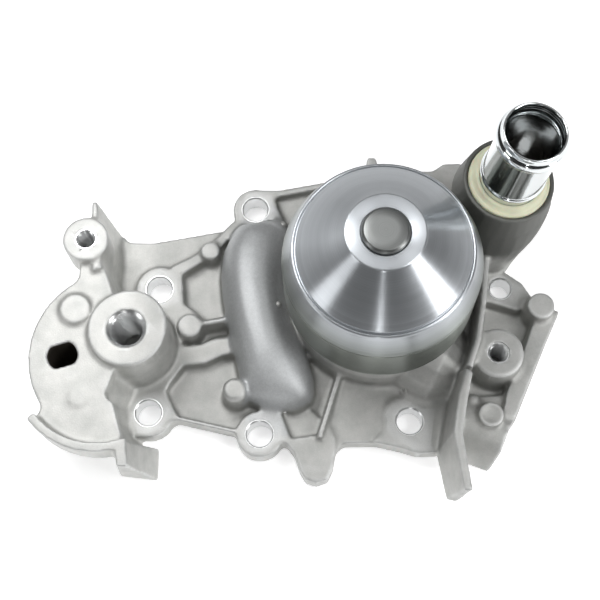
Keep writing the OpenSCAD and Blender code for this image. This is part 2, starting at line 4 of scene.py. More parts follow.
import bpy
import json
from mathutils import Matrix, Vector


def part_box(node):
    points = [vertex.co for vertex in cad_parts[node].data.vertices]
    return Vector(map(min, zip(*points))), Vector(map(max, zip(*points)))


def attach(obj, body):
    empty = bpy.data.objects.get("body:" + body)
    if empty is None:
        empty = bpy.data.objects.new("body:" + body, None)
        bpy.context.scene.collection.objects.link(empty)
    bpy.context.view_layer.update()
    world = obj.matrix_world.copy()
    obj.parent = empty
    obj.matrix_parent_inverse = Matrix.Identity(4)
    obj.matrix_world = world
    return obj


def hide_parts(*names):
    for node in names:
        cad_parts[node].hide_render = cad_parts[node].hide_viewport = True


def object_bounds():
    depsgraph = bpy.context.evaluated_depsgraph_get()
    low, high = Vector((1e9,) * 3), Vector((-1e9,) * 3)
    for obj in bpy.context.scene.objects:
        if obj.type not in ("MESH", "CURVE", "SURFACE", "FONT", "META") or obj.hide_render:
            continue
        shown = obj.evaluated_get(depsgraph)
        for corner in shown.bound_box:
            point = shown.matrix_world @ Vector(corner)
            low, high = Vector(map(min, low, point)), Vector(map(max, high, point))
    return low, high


bl_info = {
    "name": "Coolant Pump",
    "version": (1, 0, 0),
    "blender": (4, 5, 0),
    "location": "3D View > Sidebar > Coolant Pump",
    "description": "Builds an engine coolant pump in the frame of its working model",
    "category": "Add Mesh",
}

import json
import math

import bmesh
import bpy
import numpy as np
from bpy.props import FloatProperty, FloatVectorProperty, IntProperty, PointerProperty
from bpy.types import Operator, Panel, PropertyGroup
from mathutils import Matrix, Vector

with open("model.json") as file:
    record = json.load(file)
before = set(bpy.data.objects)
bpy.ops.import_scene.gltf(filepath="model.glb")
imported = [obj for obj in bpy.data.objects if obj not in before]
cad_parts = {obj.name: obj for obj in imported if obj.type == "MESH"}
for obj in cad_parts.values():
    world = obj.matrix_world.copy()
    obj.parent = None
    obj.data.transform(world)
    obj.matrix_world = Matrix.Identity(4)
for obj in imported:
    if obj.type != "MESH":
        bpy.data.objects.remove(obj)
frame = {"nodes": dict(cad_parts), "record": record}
CAD_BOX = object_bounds()
MOUNTS = {mount["name"]: mount for mount in frame["record"]["mounts"]}
MM = 0.001

FIXED = "pump_body"
ROTOR = "rotor"


# ---------- colours and sizes ----------

def linear(hex_code):
    """An sRGB hex colour as linear red, green, blue and alpha."""
    channels = [int(hex_code[i:i + 2], 16) / 255 for i in (1, 3, 5)]
    return [c / 12.92 if c <= 0.04045 else ((c + 0.055) / 1.055) ** 2.4 for c in channels] + [1.0]


def span(node, axis):
    """The CAD node's size along one axis, in metres."""
    low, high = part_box(node)
    return high[axis] - low[axis]


def length(name, description, default):
    return FloatProperty(name=name, description=description, default=default, min=0.0, unit="LENGTH")


def colour(name, description, hex_code):
    return FloatVectorProperty(name=name, description=description, subtype="COLOR", size=4,
                               min=0.0, max=1.0, default=linear(hex_code))


class PumpSizes(PropertyGroup):
    """Sizes that the finished pieces follow, in metres"""
    casting_grid: length("Casting grid", "Grid that the rough casting is remade on", 0.55 * MM)
    rim_w: length("Hole rim", "Width of the machined rim around a bolt hole", 0.55 * MM)
    thread_h: length("Thread depth", "Depth of a tapped hole's thread", 0.62 * MM)
    pulley_d: length("Pulley diameter", "Outer diameter of the belt face", span("pulley", 0))
    pulley_wall: length("Pulley wall", "Thickness of the pulley's cup", 3.0 * MM)
    belt_face_w: length("Belt face", "Width of the pulley's straight face", 20.5 * MM)
    hub_face_d: length("Hub face", "Diameter of the pulley's flat hub", 23.8 * MM)
    shaft_d: length("Shaft diameter", "Diameter of the pump shaft", span("shaft", 0))
    tube_d: length("Tube diameter", "Outer diameter of the hose tube", 20.0 * MM)
    tube_wall: length("Tube wall", "Wall thickness of the hose tube", 1.2 * MM)
    tube_len: length("Tube length", "Length of the tube above the neck's rim", 34.0 * MM)
    impeller_d: length("Impeller diameter", "Outer diameter of the impeller", span("impeller", 0))
    vane_count: IntProperty(name="Vanes", description="Number of impeller vanes", default=7, min=2)
    ball_count: IntProperty(name="Balls", description="Number of balls in the front row", default=8, min=3)
    roller_count: IntProperty(name="Rollers", description="Number of rollers in the rear row", default=9,
                              min=3)


class PumpColours(PropertyGroup):
    """Colours of the finishes"""
    blasted: colour("Blasted casting", "Bead-blasted cast aluminium", "#d3d3d0")
    blasted_low: colour("Blasted casting, low", "The casting in its hollows", "#aeb0ad")
    as_cast: colour("As-cast skin", "Smooth skin of the volute bulge", "#b8babb")
    # painted shade: the cored passage and the peg hole are painted this dark in place of the shade deep
    # inside them
    cored: colour("Cored hole", "Dark inside of the cored passages", "#5b554e")
    # painted shade: the hose neck is painted this darker grey in place of the shade on its steep side
    neck: colour("Neck", "Skin of the hose neck, left as cast", "#6c6d6a")
    machined: colour("Machined aluminium", "Cut faces of the casting", "#e2e3e3")
    turned: colour("Turned aluminium", "The pulley", "#b9bdc1")
    # painted reflection: the belt face and the shoulder are painted this darker colour in place of the dark
    # surroundings they reflect
    belt_painted_reflection: colour("Belt face", "The pulley's straight face, dulled by the belt", "#7d817c")
    steel: colour("Turned steel", "Shaft and hub", "#868887")
    plated: colour("Zinc plate", "The hose tube", "#dfe3e4")
    brass: colour("Brass", "Bearing cages", "#c4a565")
    rubber: colour("Nitrile rubber", "Bearing and shaft seals", "#1d1e20")
    carbon: colour("Carbon", "Seal's carbon face", "#303134")
    ceramic: colour("Alumina", "Seal's ceramic ring", "#ece8dd")
    stainless: colour("Stainless sheet", "Pressed seal case", "#c6c8c8")
    resin: colour("Phenolic resin", "Impeller", "#4a3a2c")
    gasket: colour("Gasket sheet", "Coated gasket", "#585c60")
    cream: colour("Sealing ring", "Moulded ring at the tube's foot", "#dcdcc0")


# ---------- materials ----------

FLANGE_TONE_AND_PAINTED_SHADE = 0.76  # the flange's brightness over the tensioner plate's: partly a paler blast on the plate, partly painted shade for the key light falling off to the right
FLANGE_TONE_AND_PAINTED_SHADE_FROM_TO = (-84 * MM, -72 * MM)  # where along X the plate's tone turns into the flange's


def add(tree, kind, sockets=None, **settings):
    """Adds a node. sockets gives an input's value, or the output that feeds it, by name or number."""
    made = tree.nodes.new(kind)
    for key, value in settings.items():
        setattr(made, key, value)
    for key, value in (sockets or {}).items():
        if isinstance(value, bpy.types.NodeSocket):
            tree.links.new(value, made.inputs[key])
        else:
            made.inputs[key].default_value = value
    return made


def material(name, shader, look=None):
    """A new material. shader holds plain values for its main shader; look(tree, shader) adds detail."""
    made = bpy.data.materials.get(name)
    if made:
        return made
    made = bpy.data.materials.new(name)
    made.use_nodes = True
    tree = made.node_tree
    tree.nodes.clear()
    bsdf = add(tree, "ShaderNodeBsdfPrincipled", shader)
    add(tree, "ShaderNodeOutputMaterial", {"Surface": bsdf.outputs[0]})
    if look:
        look(tree, bsdf)
    return made


def place_of(tree):
    return add(tree, "ShaderNodeTexCoord").outputs["Object"]


def noise(tree, vector, grain, detail=3.0, rough=0.5):
    """Noise whose lumps are grain metres across."""
    return add(tree, "ShaderNodeTexNoise", {"Vector": vector, "Scale": 1.0 / grain, "Detail": detail,
                                            "Roughness": rough}).outputs[0]


def attribute(tree, name):
    return add(tree, "ShaderNodeAttribute", attribute_name=name).outputs["Fac"]


def between(tree, factor, low, high, start=0.0, end=1.0):
    """low where factor is start or less, high where it is end or more."""
    return add(tree, "ShaderNodeMapRange", {0: factor, 1: start, 2: end, 3: low, 4: high}).outputs[0]


def clouded(tree, factor, low, high):
    """low to high over the middle of a noise's range, where most of its values are."""
    return between(tree, factor, low, high, 0.3, 0.7)


def blend(tree, factor, first, second):
    return add(tree, "ShaderNodeMix", {0: factor, 2: first, 3: second}).outputs[0]


def blend_colours(tree, factor, first, second):
    return add(tree, "ShaderNodeMix", {0: factor, 6: first, 7: second}, data_type="RGBA").outputs[2]


def scaled(tree, tint, factor):
    """A colour, given as a value or a socket, made darker or lighter by factor."""
    vector = tint if isinstance(tint, bpy.types.NodeSocket) else list(tint)[:3]
    return add(tree, "ShaderNodeVectorMath", {0: vector, "Scale": factor}, operation="SCALE").outputs[0]


def bump(tree, shader, height, depth):
    """Raises the surface by up to depth metres where height is 1."""
    made = add(tree, "ShaderNodeBump", {"Strength": 1.0, "Distance": depth, "Height": height})
    tree.links.new(made.outputs[0], shader.inputs["Normal"])


def turning_marks(tree, pitch):
    """Rings cut by a lathe tool, pitch metres apart, around the Z axis."""
    parts = add(tree, "ShaderNodeSeparateXYZ", {0: place_of(tree)})
    flat = add(tree, "ShaderNodeCombineXYZ", {0: parts.outputs[0], 1: parts.outputs[1]})
    radius = add(tree, "ShaderNodeVectorMath", {0: flat.outputs[0]}, operation="LENGTH")
    rings = add(tree, "ShaderNodeCombineXYZ", {0: radius.outputs["Value"], 1: parts.outputs[2]})
    return noise(tree, rings.outputs[0], pitch, 4.0, 0.65)


def cast_aluminium(colours):
    """Aluminium-silicon die casting, bead blasted to an even pale grey with no mirror. The volute
    bulge keeps a mottled grey skin from the mould. As painted shade, the hose neck is painted a darker
    grey and the cored passage and the peg hole are painted dark."""
    def look(tree, shader):
        place = place_of(tree)
        raw = attribute(tree, "as_cast")
        # blasting grit is about 0.15 mm across; it is drawn at 0.4 mm so that it shows
        grit = noise(tree, place, 0.4 * MM, 2.0)
        flow = noise(tree, place, 7 * MM, 5.0, 0.6)
        stain = noise(tree, place, 22 * MM, 3.0)
        pits = noise(tree, place, 1.1 * MM, 3.0, 0.6)
        tone = between(tree, flow, 0.0, 0.55, 0.35, 0.68)
        blasted = blend_colours(tree, tone, list(colours.blasted), list(colours.blasted_low))
        # the tensioner plate is painted lightest and the flange beside it greyer: partly a paler blast on
        # the plate, partly painted shade for the key light falling off to the right
        across = add(tree, "ShaderNodeSeparateXYZ", {0: place}).outputs[0]
        blasted = scaled(tree, blasted, between(tree, across, 1.0, FLANGE_TONE_AND_PAINTED_SHADE, *FLANGE_TONE_AND_PAINTED_SHADE_FROM_TO))
        bright_edges = blend_colours(tree, attribute(tree, "edge"), blasted, list(colours.machined))
        mottled = blend(tree, 0.55, pits, stain)
        skin = scaled(tree, colours.as_cast, between(tree, mottled, 0.93, 1.12, 0.35, 0.65))
        # painted shade: the hose neck is painted darker, and the cored passage and the peg hole dark
        outside = blend_colours(tree, attribute(tree, "neck"), blend_colours(tree, raw, bright_edges, skin),
                                list(colours.neck))
        tint = blend_colours(tree, attribute(tree, "cored"), outside, list(colours.cored))
        speckled = scaled(tree, tint, clouded(tree, grit, 0.94, 1.05))
        tree.links.new(speckled, shader.inputs["Base Color"])
        rough = blend(tree, raw, between(tree, grit, 0.50, 0.66), 0.56)
        tree.links.new(rough, shader.inputs["Roughness"])
        bump(tree, shader, blend(tree, raw, grit, blend(tree, 0.5, pits, flow)), 0.05 * MM)
    return material("Cast aluminium, blasted", {"Metallic": 0.75, "Specular IOR Level": 0.4}, look)


def machined_aluminium(colours):
    """Cut faces of the casting: bright, with fine tool marks."""
    def look(tree, shader):
        marks = noise(tree, place_of(tree), 0.3 * MM, 3.0)
        tree.links.new(between(tree, marks, 0.24, 0.40), shader.inputs["Roughness"])
        bump(tree, shader, marks, 0.01 * MM)
    return material("Aluminium, machined", {"Base Color": list(colours.machined), "Metallic": 1.0}, look)


def turned_aluminium(colours, band_top):
    """Aluminium turned on a lathe. The rings of tool marks stretch each reflection into a wedge. A painted
    dark reflection darkens the metal down the shoulder to band_top, where the belt's straight face
    begins, and on that face."""
    def look(tree, shader):
        # the tool's feed is about 0.1 mm; it is drawn at 0.35 mm so that it shows
        fine = turning_marks(tree, 0.35 * MM)
        broad = turning_marks(tree, 1.6 * MM)
        both = blend(tree, 0.4, fine, broad)
        shade = clouded(tree, both, 0.86, 1.06)
        up = add(tree, "ShaderNodeSeparateXYZ", {0: place_of(tree)}).outputs[2]
        # painted reflection: darker from the cone down to the belt face
        on_cone = between(tree, up, 0.0, 1.0, band_top - 0.4 * MM, band_top + 9 * MM)
        tint = blend_colours(tree, on_cone, scaled(tree, colours.belt_painted_reflection, shade),
                             scaled(tree, colours.turned, shade))
        tree.links.new(tint, shader.inputs["Base Color"])
        tree.links.new(between(tree, both, 0.26, 0.38), shader.inputs["Roughness"])
        tangent = add(tree, "ShaderNodeTangent", direction_type="RADIAL", axis="Z")
        tree.links.new(tangent.outputs[0], shader.inputs["Tangent"])
        bump(tree, shader, fine, 0.012 * MM)
    return material("Aluminium, turned", {"Metallic": 1.0, "Anisotropic": 0.85,
                                          "Anisotropic Rotation": 0.25}, look)


def turned_steel(colours):
    """Bearing-steel shaft with a faced end: greyer than the pulley, with fine rings."""
    def look(tree, shader):
        fine = turning_marks(tree, 0.3 * MM)
        tint = scaled(tree, colours.steel, clouded(tree, fine, 0.85, 1.05))
        tree.links.new(tint, shader.inputs["Base Color"])
        tree.links.new(between(tree, fine, 0.30, 0.44), shader.inputs["Roughness"])
        bump(tree, shader, fine, 0.008 * MM)
    return material("Steel, turned", {"Metallic": 1.0}, look)


def zinc_plate(colours):
    """Steel tube with bright zinc plating: nearly a mirror, with slight waves from the forming."""
    def look(tree, shader):
        waves = noise(tree, place_of(tree), 5 * MM, 2.0)
        fine = noise(tree, place_of(tree), 0.5 * MM, 2.0)
        tree.links.new(between(tree, fine, 0.09, 0.16), shader.inputs["Roughness"])
        bump(tree, shader, waves, 0.06 * MM)
    return material("Steel, bright zinc plated", {"Base Color": list(colours.plated), "Metallic": 1.0}, look)


def plain_metal(name, base, rough, grain):
    """A bright metal with a fine even grain."""
    def look(tree, shader):
        marks = noise(tree, place_of(tree), grain, 3.0)
        tree.links.new(between(tree, marks, rough - 0.06, rough + 0.08), shader.inputs["Roughness"])
        bump(tree, shader, marks, 0.006 * MM)
    return material(name, {"Base Color": base, "Metallic": 1.0}, look)


def moulded(name, base, rough, grain, depth, ior=1.5, subsurface=0.0):
    """A moulded or pressed non-metal: even colour with slight clouds and a fine grain."""
    def look(tree, shader):
        place = place_of(tree)
        marks = noise(tree, place, grain, 3.0)
        tint = scaled(tree, base, clouded(tree, noise(tree, place, 6 * MM), 0.9, 1.06))
        tree.links.new(tint, shader.inputs["Base Color"])
        tree.links.new(between(tree, marks, rough - 0.07, rough + 0.07), shader.inputs["Roughness"])
        bump(tree, shader, marks, depth)
    return material(name, {"IOR": ior, "Subsurface Weight": subsurface, "Subsurface Scale": 1 * MM}, look)


def nitrile_rubber(colours):
    """Nitrile rubber, moulded: near black, with a dull even skin."""
    return moulded("Nitrile rubber, moulded", list(colours.rubber), 0.6, 0.4 * MM, 0.01 * MM, 1.52)


# ---------- mesh helpers ----------

def revolved(rows, turns=192, closed=True, place=None):
    """A mesh turned around Z. Each row is (radius, height); a radius may be one value or one per turn."""
    angles = np.linspace(0.0, 2 * math.pi, turns, endpoint=False)
    points = []
    for radius, height in rows:
        r = np.broadcast_to(radius, turns)
        points.append(np.stack([r * np.cos(angles), r * np.sin(angles), np.full(turns, height)], 1))
    n = len(rows)
    j = np.arange(turns)
    k = (j + 1) % turns
    faces = []
    for i in range(n if closed else n - 1):
        a, b = i * turns, ((i + 1) % n) * turns
        faces += np.stack([a + j, a + k, b + k, b + j], 1).tolist()
    mesh = bpy.data.meshes.new("revolved")
    mesh.from_pydata(np.concatenate(points).tolist(), [], faces)
    clean(mesh)
    if place is not None:
        mesh.transform(place)
    return mesh


def clean(mesh):
    """Merges doubles and turns every face outwards."""
    shape = bmesh.new()
    shape.from_mesh(mesh)
    bmesh.ops.remove_doubles(shape, verts=shape.verts, dist=0.0005 * MM)
    bmesh.ops.dissolve_degenerate(shape, edges=shape.edges, dist=0.0002 * MM)
    bmesh.ops.recalc_face_normals(shape, faces=shape.faces)
    shape.to_mesh(mesh)
    shape.free()


def joined(meshes):
    """One mesh made of several."""
    shape = bmesh.new()
    for mesh in meshes:
        shape.from_mesh(mesh)
        bpy.data.meshes.remove(mesh)
    made = bpy.data.meshes.new("joined")
    shape.to_mesh(made)
    shape.free()
    return made


def rounded(points, radius, steps=4):
    """A closed outline of (radius, height) points with its corners rounded."""
    out = []
    n = len(points)
    for i, here in enumerate(points):
        here = Vector(here)
        back, ahead = Vector(points[i - 1]) - here, Vector(points[(i + 1) % n]) - here
        reach = min(radius, 0.45 * back.length, 0.45 * ahead.length)
        start, end = here + back.normalized() * reach, here + ahead.normalized() * reach
        for s in range(steps + 1):
            t = s / steps
            out.append(tuple((1 - t) ** 2 * start + 2 * t * (1 - t) * here + t * t * end))
    return out


def half_round(across, up, count, middle=0.0):
    """A half round from top to bottom: (radius, height) points of a dome or a ball."""
    return [(across * math.cos(a), middle + up * math.sin(a))
            for a in np.linspace(math.pi / 2, -math.pi / 2, count)]


def metres(rows):
    """An outline in millimetres turned into metres."""
    return [(radius * MM, height * MM) for radius, height in rows]


def shifted(radius, height, rows):
    """Rows of (radius, height) that are measured from a corner of the outline."""
    return [(radius + across, height + up) for across, up in rows]


def piece(name, mesh, body, finish, replaces=(), sharp=35.0):
    """Finishes a piece: names it, gives it its material, and lets it ride on its body."""
    obj = bpy.data.objects.new(name, mesh)
    mesh.name = name
    bpy.context.scene.collection.objects.link(obj)
    mesh.materials.clear()
    mesh.materials.append(finish)
    mesh.polygons.foreach_set("use_smooth", np.ones(len(mesh.polygons), dtype=bool))
    mesh.set_sharp_from_angle(angle=math.radians(sharp))
    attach(obj, body)
    if replaces:
        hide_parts(*replaces)
    return obj


def settings(context):
    return context.scene.pump_sizes, context.scene.pump_colours


def dress(node, finish):
    """Gives a CAD node its material."""
    for holder in frame["nodes"][node].material_slots:
        holder.material = finish


def hole_size(mount):
    """The radius and half the length of a stated hole."""
    return mount["dims"]["r_mm"] * MM, mount["dims"]["length_mm"] * MM / 2


def along(mount_name, lift=0.0):
    """The frame of a mount: origin on its axis at its mouth, +Z the way the mating part leaves."""
    mount = MOUNTS[mount_name]
    axis = Vector(mount["axis"]).normalized()
    turn = Vector((0, 0, 1)).rotation_difference(axis).to_matrix().to_4x4()
    return Matrix.Translation(Vector(mount["pos_m"]) + axis * lift) @ turn


# ---------- geometry nodes ----------

def through_modifier(start, kind, set_up):
    """The plain mesh that start becomes after one modifier, which set_up(modifier) sets."""
    maker = bpy.data.objects.new("maker", start)
    bpy.context.scene.collection.objects.link(maker)
    set_up(maker.modifiers.new("Step", kind))
    bpy.context.view_layer.update()
    made = bpy.data.meshes.new_from_object(maker.evaluated_get(bpy.context.evaluated_depsgraph_get()))
    bpy.data.objects.remove(maker)
    if not made.polygons:
        raise RuntimeError(f"the {kind} modifier made an empty mesh")
    return made


def group_tree(name, inputs):
    """A geometry node tree with named inputs: {name: socket type}."""
    tree = bpy.data.node_groups.new(name, "GeometryNodeTree")
    face = tree.interface
    face.new_socket("Geometry", in_out="INPUT", socket_type="NodeSocketGeometry")
    for label, kind in inputs.items():
        face.new_socket(label, in_out="INPUT", socket_type=kind)
    face.new_socket("Geometry", in_out="OUTPUT", socket_type="NodeSocketGeometry")
    return tree, tree.nodes.new("NodeGroupInput"), tree.nodes.new("NodeGroupOutput")


def around_axis():
    """Repeats the incoming piece around the Z axis."""
    name = "Copies around the axis"
    found = bpy.data.node_groups.get(name)
    if found:
        return found
    tree, given, result = group_tree(name, {"Count": "NodeSocketInt", "Finish": "NodeSocketMaterial"})
    line = add(tree, "GeometryNodeMeshLine", {"Count": given.outputs["Count"], "Offset": (0, 0, 0)})
    step = add(tree, "ShaderNodeMath", {0: 2 * math.pi, 1: given.outputs["Count"]}, operation="DIVIDE")
    index = add(tree, "GeometryNodeInputIndex")
    turn = add(tree, "ShaderNodeMath", {0: index.outputs[0], 1: step.outputs[0]}, operation="MULTIPLY")
    turned = add(tree, "ShaderNodeCombineXYZ", {2: turn.outputs[0]})
    copies = add(tree, "GeometryNodeInstanceOnPoints", {
        "Points": line.outputs[0], "Instance": given.outputs["Geometry"], "Rotation": turned.outputs[0]})
    real = add(tree, "GeometryNodeRealizeInstances", {0: copies.outputs[0]})
    dressed = add(tree, "GeometryNodeSetMaterial", {
        "Geometry": real.outputs[0], "Material": given.outputs["Finish"]})
    tree.links.new(dressed.outputs[0], result.inputs[0])
    return tree


def coil_tree():
    """A wire wound into a coil around the Z axis."""
    tree, given, result = group_tree("Wound wire", {
        "Turns": "NodeSocketFloat", "Coil radius": "NodeSocketFloat", "Height": "NodeSocketFloat",
        "Wire radius": "NodeSocketFloat", "Base": "NodeSocketFloat", "Finish": "NodeSocketMaterial"})
    spiral = add(tree, "GeometryNodeCurveSpiral", {
        "Resolution": 48, "Rotations": given.outputs["Turns"], "Start Radius": given.outputs["Coil radius"],
        "End Radius": given.outputs["Coil radius"], "Height": given.outputs["Height"]})
    wire = add(tree, "GeometryNodeCurvePrimitiveCircle", {
        "Resolution": 12, "Radius": given.outputs["Wire radius"]})
    swept = add(tree, "GeometryNodeCurveToMesh", {
        "Curve": spiral.outputs[0], "Profile Curve": wire.outputs[0], "Fill Caps": True})
    lift = add(tree, "ShaderNodeCombineXYZ", {2: given.outputs["Base"]})
    raised = add(tree, "GeometryNodeTransform", {
        "Geometry": swept.outputs[0], "Translation": lift.outputs[0]})
    dressed = add(tree, "GeometryNodeSetMaterial", {
        "Geometry": raised.outputs[0], "Material": given.outputs["Finish"]})
    tree.links.new(dressed.outputs[0], result.inputs[0])
    return tree


def grown(tree, start, values):
    """The plain mesh that a tree makes from the mesh start, with its inputs set by name."""
    sockets = {item.name: item.identifier for item in tree.interface.items_tree
               if item.in_out == "INPUT"}

    def set_up(modifier):
        modifier.node_group = tree
        for name, value in values.items():
            modifier[sockets[name]] = value
    return through_modifier(start, "NODES", set_up)


# ---------- casting ----------

FILLET_ROUNDS = 9
EDGE_ROUNDS = 2
BULGE_ROUNDS = 25
WEAR_ROUNDS = 6
CASTING_TRIANGLES = 185000
TOWER_R = 30.2 * MM  # the tower under the pulley, which the bulge runs into
HOLE_MARGIN = 1.2 * MM  # the casting isn't smoothed this close to a stated hole
# The bulge over the volute: places on its centre line, with its half width and half height, in mm
BULGE = ((-35, 29.5, 3, 2.5, 5), (-37, 24.5, 3.5, 9, 13), (-41, 14, 4, 11.5, 16), (-41.2, 2, 4, 11.2, 17),
         (-38.8, -11, 4, 10.8, 17), (-35.6, -21.5, 4, 11.6, 16.5), (-33.2, -30, 3.5, 12, 14.5),
         (-33, -35.2, 3, 11, 11.5), (-33.2, -38.2, 2, 6, 6.5))


def neighbour_mean(points, edges, count):
    """The mean of each point's neighbours."""
    a, b = edges[:, 0], edges[:, 1]
    degree = np.maximum(np.bincount(a, minlength=count) + np.bincount(b, minlength=count), 1)
    total = [np.bincount(a, points[b, k], count) + np.bincount(b, points[a, k], count) for k in range(3)]
    return np.stack(total, 1) / degree[:, None]


def read(mesh):
    """The mesh's points and edges as arrays."""
    points = np.empty(len(mesh.vertices) * 3)
    mesh.vertices.foreach_get("co", points)
    edges = np.empty(len(mesh.edges) * 2, dtype=np.int64)
    mesh.edges.foreach_get("vertices", edges)
    return points.reshape(-1, 3), edges.reshape(-1, 2)


def normals_of(mesh):
    out = np.empty(len(mesh.vertices) * 3)
    mesh.vertex_normals.foreach_get("vector", out)
    return out.reshape(-1, 3)


def write(mesh, points):
    mesh.vertices.foreach_set("co", points.ravel())
    mesh.update()


def remade(mesh, grid):
    """The mesh remade on an even grid, which the smoothing steps need."""
    def set_up(modifier):
        modifier.mode = "VOXEL"
        modifier.voxel_size = grid
        modifier.adaptivity = 0.0
        modifier.use_smooth_shade = True
    return through_modifier(mesh, "REMESH", set_up)


def thinned(mesh, triangles):
    """The mesh with no more than about so many triangles."""
    mesh.calc_loop_triangles()
    share = min(1.0, triangles / len(mesh.loop_triangles))
    return through_modifier(mesh, "DECIMATE", lambda modifier: setattr(modifier, "ratio", share))


def hole_frames():
    """Each stated round hole of the casting: its mount, middle, axis, radius and half length."""
    for mount in MOUNTS.values():
        if mount["kind"] in ("bore", "threaded_hole"):
            yield mount, np.array(mount["pos_m"]), np.array(mount["axis"]), *hole_size(mount)


def fill_corners(mesh, rounds, fixed):
    """Fills the inner corners, as a casting's fillets do. Points where fixed is true don't move."""
    points, edges = read(mesh)
    for step in range(rounds):
        if step % 4 == 0:
            write(mesh, points)
            normals = normals_of(mesh)
        shift = 0.5 * (neighbour_mean(points, edges, len(points)) - points)
        outward = (shift * normals).sum(1)
        keep = (outward > 0) & ~fixed
        points[keep] += shift[keep]
    write(mesh, points)


def round_edges(mesh, rounds, fixed):
    """Rounds all edges a little."""
    points, edges = read(mesh)
    for _ in range(rounds):
        shift = 0.5 * (neighbour_mean(points, edges, len(points)) - points)
        points[~fixed] += shift[~fixed]
    write(mesh, points)


def near_holes(points, margin):
    """True for the points on or close to the wall of a stated hole."""
    hit = np.zeros(len(points), dtype=bool)
    for _, centre, axis, radius, half in hole_frames():
        offset = points - centre
        height = offset @ axis
        reach = np.linalg.norm(offset - np.outer(height, axis), axis=1)
        hit |= (reach < radius + margin) & (np.abs(height) < half + margin)
    return hit


def open_holes(points, extra):
    """Widens the stated holes, so that their machined walls can stand in front of the casting."""
    for mount, centre, axis, radius, half in hole_frames():
        grow = extra["threaded" if mount["kind"] == "threaded_hole" else "plain"]
        offset = points - centre
        height = offset @ axis
        out = offset - np.outer(height, axis)
        reach = np.linalg.norm(out, axis=1)
        depth = half + 3 * MM if mount["kind"] == "bore" else half + 1.5 * MM
        inside = (reach < radius + grow) & (np.abs(height) < depth) & (reach > 1e-6)
        points[inside] += out[inside] * ((radius + grow) / reach[inside] - 1)[:, None]


def bulge_share(points):
    """1 on the bulge's own skin, 0 elsewhere."""
    path = np.array(BULGE) * MM
    best = np.full(len(points), 9.0)
    for a, b in zip(path[:-1], path[1:]):
        run = b[:2] - a[:2]
        t = np.clip((points[:, :2] - a[:2]) @ run / (run @ run), 0, 1)
        mid = a + t[:, None] * (b - a)
        side = np.linalg.norm(points[:, :2] - mid[:, :2], axis=1) / mid[:, 3]
        rise = (points[:, 2] - mid[:, 2]) / mid[:, 4]
        best = np.minimum(best, (side ** 2.5 + np.abs(rise) ** 2.5) ** 0.4)
    share = np.clip((1.16 - best) / 0.08, 0, 1) * np.clip((points[:, 2] - 6.5 * MM) / (2.5 * MM), 0, 1)
    clear_of_tower = np.clip((np.hypot(points[:, 0], points[:, 1]) - TOWER_R) / (1.0 * MM), 0, 1)
    return share * clear_of_tower


def share_within(points, mount_name, radius):
    """1 within radius of a mount's axis, 0 farther out."""
    mount = MOUNTS[mount_name]
    axis = np.array(mount["axis"])
    offset = points - np.array(mount["pos_m"])
    reach = np.linalg.norm(offset - np.outer(offset @ axis, axis), axis=1)
    return np.clip((radius - reach) / (0.4 * MM), 0, 1)


def painted_shade_shares(points):
    """The share of painted shade on the hose neck's outer face, and that in the cored passage and peg hole.
    """
    y, z = points[:, 1], points[:, 2]
    above = y > 9 * MM  # the neck lies beyond this line
    outer = share_within(points, "tube_bore", 18.5 * MM) * np.clip((z - 10 * MM) / (5 * MM), 0, 1)
    outer *= above
    passage = share_within(points, "tube_bore", 12.5 * MM) * (z < 39 * MM) * (z > 4 * MM)
    peg = share_within(points, "tensioner_peg_slot", 5.2 * MM) * (z < 26.4 * MM)
    return outer, np.maximum(passage * above, peg)


def set_attribute(mesh, name, values):
    layer = mesh.attributes.new(name, "FLOAT", "POINT")
    layer.data.foreach_set("value", np.ascontiguousarray(values, dtype=np.float32))


class PUMP_OT_casting(Operator):
    """Make the aluminium casting: the CAD solid with a casting's fillets, rounded edges and skin"""
    bl_idname = "pump.casting"
    bl_label = "Casting"

    def execute(self, context):
        sizes, colours = settings(context)
        rough = frame["nodes"]["housing"].data.copy()
        clean(rough)
        mesh = remade(rough, sizes.casting_grid)
        points, _ = read(mesh)
        fixed = near_holes(points, HOLE_MARGIN)
        tube_seat = MOUNTS["tube_bore"]["pos_m"][2]
        fill_corners(mesh, FILLET_ROUNDS, fixed)
        # near the holes below the tube's seat the edges stay sharp, as they are machined
        round_edges(mesh, EDGE_ROUNDS, fixed & (points[:, 2] < tube_seat))
        points, _ = read(mesh)
        round_edges(mesh, BULGE_ROUNDS, fixed | (bulge_share(points) < 0.6))
        points, _ = read(mesh)
        widened = {"plain": 0.35 * MM, "threaded": sizes.thread_h + 0.5 * MM}
        open_holes(points, widened)
        points[:, 2] = np.maximum(points[:, 2], 0.0)  # nothing stands below the mounting face
        write(mesh, points)
        mesh = thinned(mesh, CASTING_TRIANGLES)
        points, edges = read(mesh)
        open_holes(points, widened)
        write(mesh, points)
        # edges that stand proud of the smoothed casting are made brighter, towards the machined colour
        smooth = points.copy()
        for _ in range(WEAR_ROUNDS):
            smooth = neighbour_mean(smooth, edges, len(points))
        proud = ((points - smooth) * normals_of(mesh)).sum(1) / (0.35 * MM)
        set_attribute(mesh, "edge", 0.5 * np.clip(proud - 0.2, 0, 1))
        set_attribute(mesh, "as_cast", bulge_share(points))
        # painted shade on the hose neck, the cored passage and the peg hole
        neck, cored = painted_shade_shares(points)
        set_attribute(mesh, "neck", neck)
        set_attribute(mesh, "cored", cored)
        piece("casting", mesh, FIXED, cast_aluminium(colours), ("housing",), 60.0)
        return {"FINISHED"}


